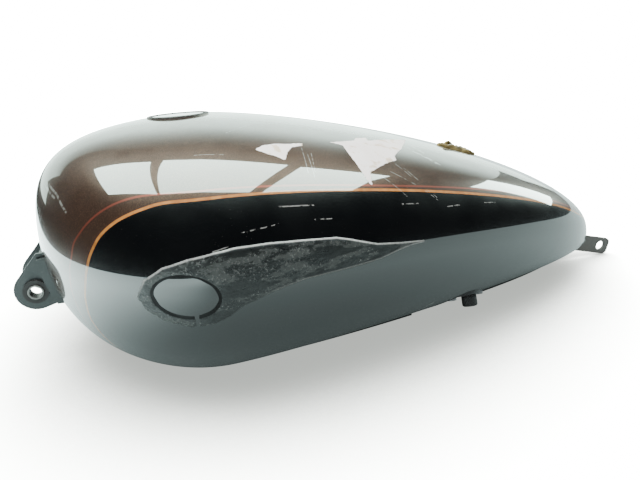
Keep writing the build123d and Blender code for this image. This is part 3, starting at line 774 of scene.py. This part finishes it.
lip_paint = worn_coating("lip_paint", (0.004, 0.005, 0.005), (0.02, 0.02, 0.02), (0.30, 0.45))
for name, points, faces in (("left_lip", left_points, left_faces),
                            ("right_lip", right_points, right_faces)):
    strips = joined([lip_strip(chain) for chain in floor_chains(points, faces)])
    make_piece(name, *strips, "tank", lip_paint, "skin_paint", 50)

# ---------------- pump seat pocket
# The pocket pressed up into the left skin: a wall from the skin's edge, then a flat seat
# ring round the pump opening.
POCKET_STEPS = 144
POCKET_ROUND = 0.8        # rounding of the pocket's inner corner
SKIRT_LOW = -6.0          # where the pocket's wall ends beside the open floor
rim_x, rim_y, rim_z = to_local(left_points, PUMP_FRAME)
on_rim = np.abs(np.hypot(rim_x, rim_y) - SEAT_RADIUS) < ON_BORDER
on_rim &= left_points[:, 2] < PUMP_BELOW_Z
rim_points = {v for a, b in border_edges(left_faces) if on_rim[a] and on_rim[b] for v in (a, b)}
turns = np.array(sorted((math.atan2(rim_y[v], rim_x[v]), rim_z[v]) for v in rim_points))
angle = np.linspace(-math.pi, math.pi, POCKET_STEPS, endpoint=False)
mouth = np.interp(angle, turns[:, 0], turns[:, 1], period=2 * math.pi)
has_skin = [np.min(np.abs(np.angle(np.exp(1j * (turns[:, 0] - a))))) < 0.06 for a in angle]


def pocket_wall():
    """A closed ring: the wall from the skin's edge, and the flat seat plate at its top."""
    outer = SEAT_RADIUS + WALL
    profile = []
    for height, here in zip(mouth, has_skin):
        bottom = min(height, 1.4) if here else SKIRT_LOW
        profile.append([(SEAT_RADIUS, bottom), (SEAT_RADIUS, max(bottom, 0.0)),
                        (SEAT_RADIUS - 0.5, 0.0), (SEAT_HOLE_RADIUS, 0.0),
                        (SEAT_HOLE_RADIUS, WALL), (outer - POCKET_ROUND, WALL),
                        (outer, WALL - POCKET_ROUND), (outer, min(bottom, 0.6))])
    profile = np.array(profile)
    x = profile[..., 0] * np.cos(angle)[:, None]
    y = profile[..., 0] * np.sin(angle)[:, None]
    points = from_local(np.stack([x, y, profile[..., 1]], -1), PUMP_FRAME)
    return points.reshape(-1, 3), ring_faces(POCKET_STEPS, points.shape[1])


make_piece("pump_pocket", *pocket_wall(), "tank", slot_looks["pan_paint"], "pan_paint", 40)


# ---------------- surface overlays
def rising_root(count, top, below):
    """The parameters from 0 to top up to which below() holds."""
    low, high = np.zeros(count), np.full(count, top)
    for _ in range(40):
        middle = (low + high) / 2
        still = below(middle)
        low = np.where(still, middle, low)
        high = np.where(still, high, middle)
    return low


def in_plan(points):
    """(theta, u) of the upper skin at points given by X and Y."""
    x, y = points[:, 0], np.abs(points[:, 1])
    width = shell_lines(x + LENGTH / 2)[0]
    s = (x + LENGTH / 2) / LENGTH
    level = crown_handle(width, s)
    u = rising_root(len(x), 1.0, lambda u: cubic(0, level, width, width, u) < y)
    return np.stack([theta_at(x), u], 1)


def on_flank(points):
    """(theta, u) of the left skin at points given by X and Z."""
    theta = theta_at(points[:, 0])
    u = rising_root(len(theta), 1.9, lambda u: skin_point(theta, u, -1)[:, 2] > points[:, 1])
    return np.stack([theta, u], 1)


FILM_LIFT = 0.02          # a film's edge starts this far above the paint
FILM_SUNK = 0.25          # and its underside lies this far below it
FILM_EDGE = 1.2           # width over which a film rises to its full thickness


def overlay(name, inside, low, high, counts, to_params, material, slot_name, thickness):
    """A thin closed film on the left skin. inside() gives the signed distance in a flat
    pattern whose corners are low and high; to_params() carries the pattern onto the skin."""
    a = np.linspace(low[0], high[0], counts[0])
    b = np.linspace(low[1], high[1], counts[1])
    A, B = np.meshgrid(a, b, indexing="ij")
    flat = np.stack([A.ravel(), B.ravel()], 1)
    depth = inside(flat)

    def cut_point(outer, inner):
        t = depth[outer] / (depth[outer] - depth[inner])
        return flat[outer] + t * (flat[inner] - flat[outer])

    kept, faces = part_of_grid(flat, grid_squares(A.shape), depth, cut_point)
    where = to_params(kept)
    base = skin_point(*where.T, -1)
    normal = skin_normal(*where.T, -1)
    edge = np.sqrt(np.clip(inside(kept) / FILM_EDGE, 0, 1))
    raised = thickness(kept) if callable(thickness) else thickness
    top = base + normal * (FILM_LIFT + raised * (0.35 + 0.65 * edge))[:, None]
    faces = turned_outward(faces, top, normal)
    wall, all_faces = closed_wall(top, base - FILM_SUNK * normal, faces)
    return make_piece(name, wall, all_faces, "tank", material, slot_name, 50), kept


# ---------------- badge adhesive residue
TOP_EDGE = [(-207, 112), (-204, 119), (-200, 127), (-186, 137.5), (-168, 144), (-150, 147.5),
            (-135, 149), (-110, 148), (-83, 145), (-57, 141.5), (-46, 138), (-34, 133.5),
            (-23, 129.5), (0, 125), (22, 121.5)]
LOW_EDGE = [(22, 119.5), (10, 120), (-3, 119), (-21, 116), (-53, 115.5), (-86, 115.5), (-109, 112),
            (-134, 105), (-143, 99), (-155, 93), (-172, 90), (-190, 94), (-202, 102)]
badge_outline = np.array(TOP_EDGE + LOW_EDGE, float)
GROOVE_CENTRE = np.array([-172.5, 115.0])
GROOVE_RADII = np.array([24.5, 18.0])
MEAN_RADIUS = 21
BRIDGE_X = -167.0         # the residue runs through the groove here, below BRIDGE_TOP_Z
BRIDGE_TOP_Z = 105.0


def off_groove(flat):
    """Distance outside the groove's oval, roughly in mm."""
    return (np.linalg.norm((flat - GROOVE_CENTRE) / GROOVE_RADII, axis=1) - 1) * MEAN_RADIUS


def off_bridge(flat, half_width):
    """Distance outside the bridge across the groove; large above it."""
    below = flat[:, 1] < BRIDGE_TOP_Z
    return np.where(below, np.abs(flat[:, 0] - BRIDGE_X) - half_width, 9.0)


def badge_inside(flat):
    ragged = waviness(flat, 0.35, 0.35, 3.0)
    body = polygon_distance(flat, badge_outline) + np.where(flat[:, 1] > 117, 0.12, 0.7) * ragged
    groove = off_groove(flat) - 0.25 * ragged
    return np.minimum.reduce([body, groove, off_bridge(flat, 1.3)])


def badge_height(flat):
    lumps = waviness(flat, 0.16, 0.30, 7.0)
    ridges = waviness(flat, 0.7, 0.7, 1.0)
    edge = polygon_distance(flat, badge_outline)
    upper = np.clip((flat[:, 1] - 112) / 25, 0, 1) * (flat[:, 0] > -150)
    rim = np.exp(-((edge - 1.2) / 0.9) ** 2) * upper
    return 0.30 + 0.16 * lumps + 0.08 * ridges + 0.5 * rim


def residue_material():
    n = Nodes("badge_residue")
    blotch = n.noise(95, 6, 0.75, (0.55, 1, 1.5))
    fine = n.noise(520, 5, 0.75)
    patch = n.noise(38, 4, 0.6, (0.5, 1, 2.2))
    base = n.mix(n.ramp(blotch, 0.47, 0.55), (0.0015, 0.002, 0.002), (0.040, 0.046, 0.043))
    base = n.mix(n.ramp(fine, 0.54, 0.66, 0, 0.8), base, (0.16, 0.175, 0.165))
    base = n.mix(n.ramp(patch, 0.49, 0.53, 0, 0.95), base, (0.002, 0.0024, 0.0024))
    rim = n.math("MULTIPLY", n.attribute("rim"), n.ramp(fine, 0.30, 0.5, 0.35, 1.0))
    base = n.mix(rim, base, (0.50, 0.53, 0.50))
    n.set(Base_Color=base, Roughness=n.ramp(blotch, 0.3, 0.7, 0.22, 0.6), Specular_IOR_Level=0.4)
    n.bump(n.math("ADD", blotch, n.math("MULTIPLY", fine, 0.6)), 1.0, 0.0009)
    return n.material


badge, badge_flat = overlay("badge_residue", badge_inside, (-210, 86), (26, 152), (400, 140),
                            on_flank, residue_material(), "adhesive", badge_height)
rim_edge = polygon_distance(badge_flat, badge_outline)
rim_part = np.exp(-((rim_edge - 0.7) / 0.6) ** 2)
rim_part = rim_part * np.clip((badge_flat[:, 1] - 110) / 22, 0, 1)
store(badge, "rim", rim_part)
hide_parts("badge_adhesive")


def groove_inside(flat):
    ring = off_groove(flat)
    low_side = np.clip((114 - flat[:, 1]) / 14, 0, 1)
    width = 2.2 + 1.2 * low_side + 0.8 * waviness(flat, 0.12, 0.12, 9.0)
    return np.minimum.reduce([-ring, ring + width, off_bridge(flat, 1.6)])


tar = plain("badge_groove_tar", (0.002, 0.002, 0.002), (0.006, 0.006, 0.006), 0.0, (0.6, 0.8),
            200, 0.5, None, 0.0003, 0.2)
overlay("badge_groove", groove_inside, (-200, 94), (-145, 136), (190, 150), on_flank, tar,
        "adhesive", 0.10)

# ---------------- torn label scraps
SCRAP_ONE = [(-102, -91), (-94, -84), (-84, -80), (-72, -79), (-59, -75), (-60, -80), (-70, -84),
             (-76, -93), (-81, -105), (-85, -101), (-91, -98)]
SCRAP_TWO = [(-32, -67), (-20, -62), (-6, -55), (-2, -47), (10, -41), (9, -50), (24, -40),
             (39, -31), (50, -24), (61, -17), (52, -34), (39, -57), (29, -70), (23, -78),
             (22, -85), (7, -95), (-3, -103), (-11, -109), (-15, -123), (-17, -121), (-19, -110),
             (-20, -102), (-22, -85), (-22, -71)]
SCRAP_MARGIN = 3          # what the film's grid has to spare round an outline


def label_scrap(name, outline):
    def inside(flat):
        torn = 0.8 * waviness(flat, 0.5, 0.5, 2.0) + 0.35 * waviness(flat, 1.4, 1.4, 5.0)
        return polygon_distance(flat, outline) + torn

    low, high = outline.min(0) - SCRAP_MARGIN, outline.max(0) + SCRAP_MARGIN
    counts = tuple(int(v) for v in np.ceil(high - low) + 1)
    overlay(name, inside, low, high, counts, in_plan, paper, None, 0.22)


def scrap_material():
    n = Nodes("label_paper")
    stain = n.noise(34, 4, 0.6)
    fibre = n.noise(420, 4, 0.65, (1, 0.4, 1))
    base = n.mix(n.ramp(stain, 0.30, 0.7), (0.80, 0.72, 0.68), (0.86, 0.80, 0.77))
    base = n.mix(n.ramp(n.noise(90, 3), 0.55, 0.66, 0, 0.7), base, (0.52, 0.36, 0.17))
    base = n.mix(n.ramp(fibre, 0.5, 0.7, 0, 0.25), base, (0.88, 0.80, 0.76))
    n.set(Base_Color=base, Roughness=n.ramp(stain, 0.3, 0.7, 0.45, 0.62))
    n.bump(fibre, 0.6, 0.0004)
    return n.material


paper = scrap_material()
label_scrap("label_scrap_front", np.array(SCRAP_ONE, float))
label_scrap("label_scrap_rear", np.array(SCRAP_TWO, float))

# ---------------- dried sealant lump
def lump_material():
    n = Nodes("dried_sealant")
    patch = n.noise(120, 5, 0.6)
    base = n.mix(n.ramp(patch, 0.3, 0.7), (0.075, 0.052, 0.010), (0.40, 0.32, 0.11))
    n.set(Base_Color=base, Roughness=n.ramp(patch, 0.3, 0.7, 0.45, 0.7), Specular_IOR_Level=0.4)
    n.bump(patch, 0.6, 0.0006)
    return n.material


TUBE_SIDES = 14


def tube_mesh(track, radii):
    """A closed, uneven tube of varying radius along a track."""
    ahead = np.gradient(track, axis=0)
    ahead /= np.linalg.norm(ahead, axis=1, keepdims=True)
    side = np.cross(ahead, [0, 0, 1.0])
    side /= np.maximum(np.linalg.norm(side, axis=1, keepdims=True), 1e-6)
    up = np.cross(side, ahead)
    turn = np.linspace(0, 2 * math.pi, TUBE_SIDES, endpoint=False)
    rings = []
    for i, (p, r) in enumerate(zip(track, radii)):
        around = [(p[0] * 0.4, math.cos(t) * 1.3, math.sin(t) * 1.3) for t in turn]
        bumps = np.array([1 + 0.35 * noise.noise(Vector(q)) for q in around])
        rings.append(p + (np.cos(turn) * bumps * r)[:, None] * side[i]
                     + (np.sin(turn) * bumps * r)[:, None] * up[i])
    last = (len(track) - 1) * TUBE_SIDES
    faces = []
    for start in range(0, last, TUBE_SIDES):
        for k in range(TUBE_SIDES):
            a, b = start + k, start + (k + 1) % TUBE_SIDES
            faces.append([a, b, b + TUBE_SIDES, a + TUBE_SIDES])
    faces.append(list(reversed(range(TUBE_SIDES))))
    faces.append([last + k for k in range(TUBE_SIDES)])
    return np.concatenate(rings), faces


def crest_at(x):
    return shell_lines(x + LENGTH / 2)[1]


# Two tubes on the crest: a low ridge along it, and a curl that stands up from it.
span = np.linspace(104, 146, 40)
ridge = np.stack([span, -0.5 + 1.2 * np.sin(span * 0.3), crest_at(span) + 0.6], 1)
ridge_radii = 0.6 + 3.4 * np.sin(np.pi * np.clip((span - 102) / 46, 0, 1)) ** 0.6
curl_turn = np.linspace(-0.4, 1.15 * math.pi, 26)
curl_x = 116 + 4.2 * np.cos(curl_turn)
curl = np.stack([curl_x, -1.5 + 1.2 * np.sin(curl_turn * 0.7),
                 crest_at(curl_x) + 1.2 + 4.6 * np.sin(curl_turn)], 1)
curl_radii = 1.35 - 0.4 * np.abs(np.linspace(-1, 1, 26))
sealant = lump_material()
for lump_name, (track, radii) in (("sealant_ridge", (ridge, ridge_radii)),
                                  ("sealant_curl", (curl, curl_radii))):
    make_piece(lump_name, *tube_mesh(track, radii), "tank", sealant)

# ---------------- turned parts
TURNED_STEPS = 96
EAR_EYE = (-298.7, 22.5, 79.6)   # middle of the ear's eye on the right-hand side


def turned(profile, place):
    """A closed ring: (radius, height) points turned about Z, then put in place."""
    profile = np.array(profile, float)
    turn = np.linspace(0, 2 * math.pi, TURNED_STEPS, endpoint=False)
    x = np.cos(turn)[:, None] * profile[:, 0]
    y = np.sin(turn)[:, None] * profile[:, 0]
    z = np.broadcast_to(profile[:, 1], x.shape)
    points = place(np.stack([x, y, z], -1)).reshape(-1, 3)
    return points, ring_faces(TURNED_STEPS, len(profile))


def facing_y(side):
    """Puts a part turned about Z across an ear, its top outwards."""
    def place(points):
        x, y, z = points[..., 0], points[..., 1], points[..., 2]
        return np.stack([EAR_EYE[0] + x, side * (EAR_EYE[1] + z), EAR_EYE[2] - side * y], -1)
    return place


worn_zinc = plain("worn_zinc", (0.10, 0.10, 0.095), (0.17, 0.17, 0.16), 0.6, (0.35, 0.55), 150, 0.3)
sleeve_profile = [(5.15, -4.5), (6.9, -4.5), (6.9, 5.3), (6.6, 5.6), (5.5, 5.6), (5.15, 5.3)]
sleeves = joined([turned(sleeve_profile, facing_y(side)) for side in (-1, 1)])
sleeve_piece = make_piece("sleeve_pair", *sleeves, "tank", worn_zinc, "zinc_steel", 30)
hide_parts("front_sleeves")

seal_profile = [(25.6, 0.9), (26.2, 1.25), (28.0, 1.15), (28.8, 0.55), (27.0, 0.4), (27.0, -4.0),
                (25.6, -4.0)]
seal = turned(seal_profile, lambda points: from_local(points, CAP_FRAME))
seal_piece = make_piece("rim_seal_ring", *seal, "tank", slot_looks["rubber"], "rubber", 30)
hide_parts("filler_rim_seal")


# ---------------- springs
def spring(name, node_name, place, start, end):
    """A copy of a CAD spring in place of the CAD one, which is hidden."""
    piece = in_scene(name, nodes[node_name].data.copy())
    low = to_row(from_local(np.array(start, float), place))
    high = to_row(from_local(np.array(end, float), place))
    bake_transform(piece)
    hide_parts(node_name)


spring("vent_spring_coil", "cap_vent_spring", CAP_FRAME,
       (0, 0, -30), (0, 0, -24))
spring("knob_spring_coil", "cap_knob_spring", CAP_FRAME,
       (0, 0, -30), (0, 0, -4))
spring("check_spring_coil", "outlet_check_spring", PUMP_FRAME,
       (20, -6, -13.6), (20, -6, -6.6))

# ---------------- surroundings
def glowing(name, strength, colour):
    """A material that only gives light, with a strength that may vary over the surface."""
    n = Nodes(name)
    n.tree.nodes.remove(n.shader)
    glow = n.tree.nodes.new("ShaderNodeEmission")
    glow.inputs["Color"].default_value = (*colour, 1)
    n.link(glow.outputs[0], n.output.inputs[0])
    n.put(strength(n) if callable(strength) else strength, glow.inputs["Strength"])
    return n.material


def shaded(bright, power, distance, least):
    """A painted shadow: full brightness in the open, less where the tank closes off the sky."""
    def strength(n):
        sky = n.tree.nodes.new("ShaderNodeAmbientOcclusion")
        sky.samples = 24
        sky.inputs["Distance"].default_value = distance
        open_share = n.math("POWER", sky.outputs["AO"], power)
        return n.math("ADD", n.math("MULTIPLY", open_share, bright), least)
    return strength


def lit_from_left(n):
    """The bench's glow, over three times as strong towards its lit left end."""
    share = n.ramp(n.along((1, 0, 0)), -0.22, -0.50, 1.0, 3.4)
    return n.math("MULTIPLY", shaded(2.3, 2.0, 0.20, 0.03)(n), share)


def fading(low, high, weak, strong):
    """Strength that rises with Y."""
    return lambda n: n.ramp(n.along((0, 1, 0)), low, high, weak, strong)


def sheet(name, corners, height, material, camera=False):
    """A white sheet given by its corners in plan. Reflections see it, or the camera."""
    mesh = bpy.data.meshes.new(name)
    points = [(*p, height)[:3] for p in corners]
    mesh.from_pydata(points, [], [tuple(range(len(points)))])
    made = in_scene(name, mesh)
    mesh.materials.append(material)
    made.visible_camera = camera
    made.visible_glossy = not camera
    made.visible_diffuse = False
    made.visible_shadow = False


def overhead(name, corners, strength=30):
    sheet(name, corners, 1.2, glowing(name + "_glow", strength, (0.80, 1.0, 0.92)))


def soft_box(name, centre, target, size, power):
    light = bpy.data.lights.new(name, "AREA")
    light.shape = "RECTANGLE"
    light.size, light.size_y = size
    light.energy = power
    lamp = in_scene(name, light)
    lamp.location = centre
    lamp.rotation_euler = (Vector(target) - Vector(centre)).to_track_quat("-Z", "Y").to_euler()
    lamp.visible_camera = False
    lamp.visible_glossy = False


# The floor glows; its shadow under the tank is a painted shadow from ambient occlusion.
sheet("floor", [(-30, -30), (30, -30), (30, 30), (-30, 30)], 0.0,
      glowing("floor_glow_painted_shadow", shaded(30.0, 5.0, 0.42, 0.65), (0.95, 1.0, 0.94)), camera=True)
# Bench seen only in reflections: painted light, stronger to the left, and painted shadow.
sheet("table_top", [(-0.66, -1.2), (8, -1.2), (8, 6.0), (-0.66, 6.0)], -0.001,
      glowing("table_glow_painted_light", lit_from_left, (0.80, 1.0, 0.98)))
overhead("overhead_left", [(-1.34, 0.28), (-0.70, 0.06), (-0.46, 0.65), (-1.05, 0.75)])
overhead("overhead_middle", [(-0.67, 0.05), (0.18, -0.08), (0.41, 0.52), (-0.37, 0.66)])
overhead("overhead_right", [(0.25, -0.09), (0.75, -0.04), (0.84, 0.24), (0.99, 0.46),
                            (0.47, 0.49)])
overhead("side_strip", [(1.80, 0.51), (2.4, 0.68), (3.7, 0.96), (7.0, 1.6), (6.5, 3.2),
                        (3.3, 1.77), (2.25, 1.26)])
overhead("ceiling_behind", [(-2.2, 1.7), (-0.87, 1.3), (-0.32, 0.99), (0.26, 0.89), (0.81, 0.89),
                            (1.67, 1.15), (2.32, 1.33), (5, 5), (-5, 5)],
         fading(0.95, 2.4, 0.2, 4.4))
overhead("backdrop", [(-6, 5, 0), (6, 5, 0), (6, 5, 1.2), (-6, 5, 1.2)], 5.0)
soft_box("key", (-0.1, 0.15, 1.25), (0, 0, 0), (2.4, 1.2), 60)
soft_box("front_fill", (-0.6, -1.8, 1.2), (0, 0, 0.1), (1.6, 1.2), 14)

world = bpy.data.worlds.new("studio")
bpy.context.scene.world = world
world.use_nodes = True
tree = world.node_tree
tree.nodes.clear()
ways = tree.nodes.new("ShaderNodeLightPath")


def background(colour, strength):
    node = tree.nodes.new("ShaderNodeBackground")
    node.inputs["Color"].default_value = (*colour, 1)
    node.inputs["Strength"].default_value = strength
    return node.outputs[0]


def by_ray(kind, others, chosen):
    """One light for rays of a kind, another for the others."""
    node = tree.nodes.new("ShaderNodeMixShader")
    for source, socket in zip((ways.outputs[kind], others, chosen), node.inputs):
        tree.links.new(source, socket)
    return node.outputs[0]


unseen = by_ray("Is Glossy Ray", background((1, 1, 1), 0.5), background((0.9, 0.95, 1.0), 0.05))
light = by_ray("Is Camera Ray", unseen, background((1, 1, 1), 40.0))
tree.links.new(light, tree.nodes.new("ShaderNodeOutputWorld").inputs[0])

# ---------------- camera
camera_data = bpy.data.cameras.new("camera")
camera = in_scene("camera", camera_data)
right = (0.959432, -0.277404, -0.050369)
up = (0.147389, 0.341195, 0.928365)
back = (-0.240346, -0.898128, 0.368240)
turn = Matrix((right, up, back)).transposed()
camera.matrix_world = Matrix.Translation((-0.186763, -0.557148, 0.302988)) @ turn.to_4x4()
camera_data.sensor_width = 36
camera_data.lens = 33.55
camera_data.clip_start = 0.01
camera_data.clip_end = 50
bpy.context.scene.camera = camera
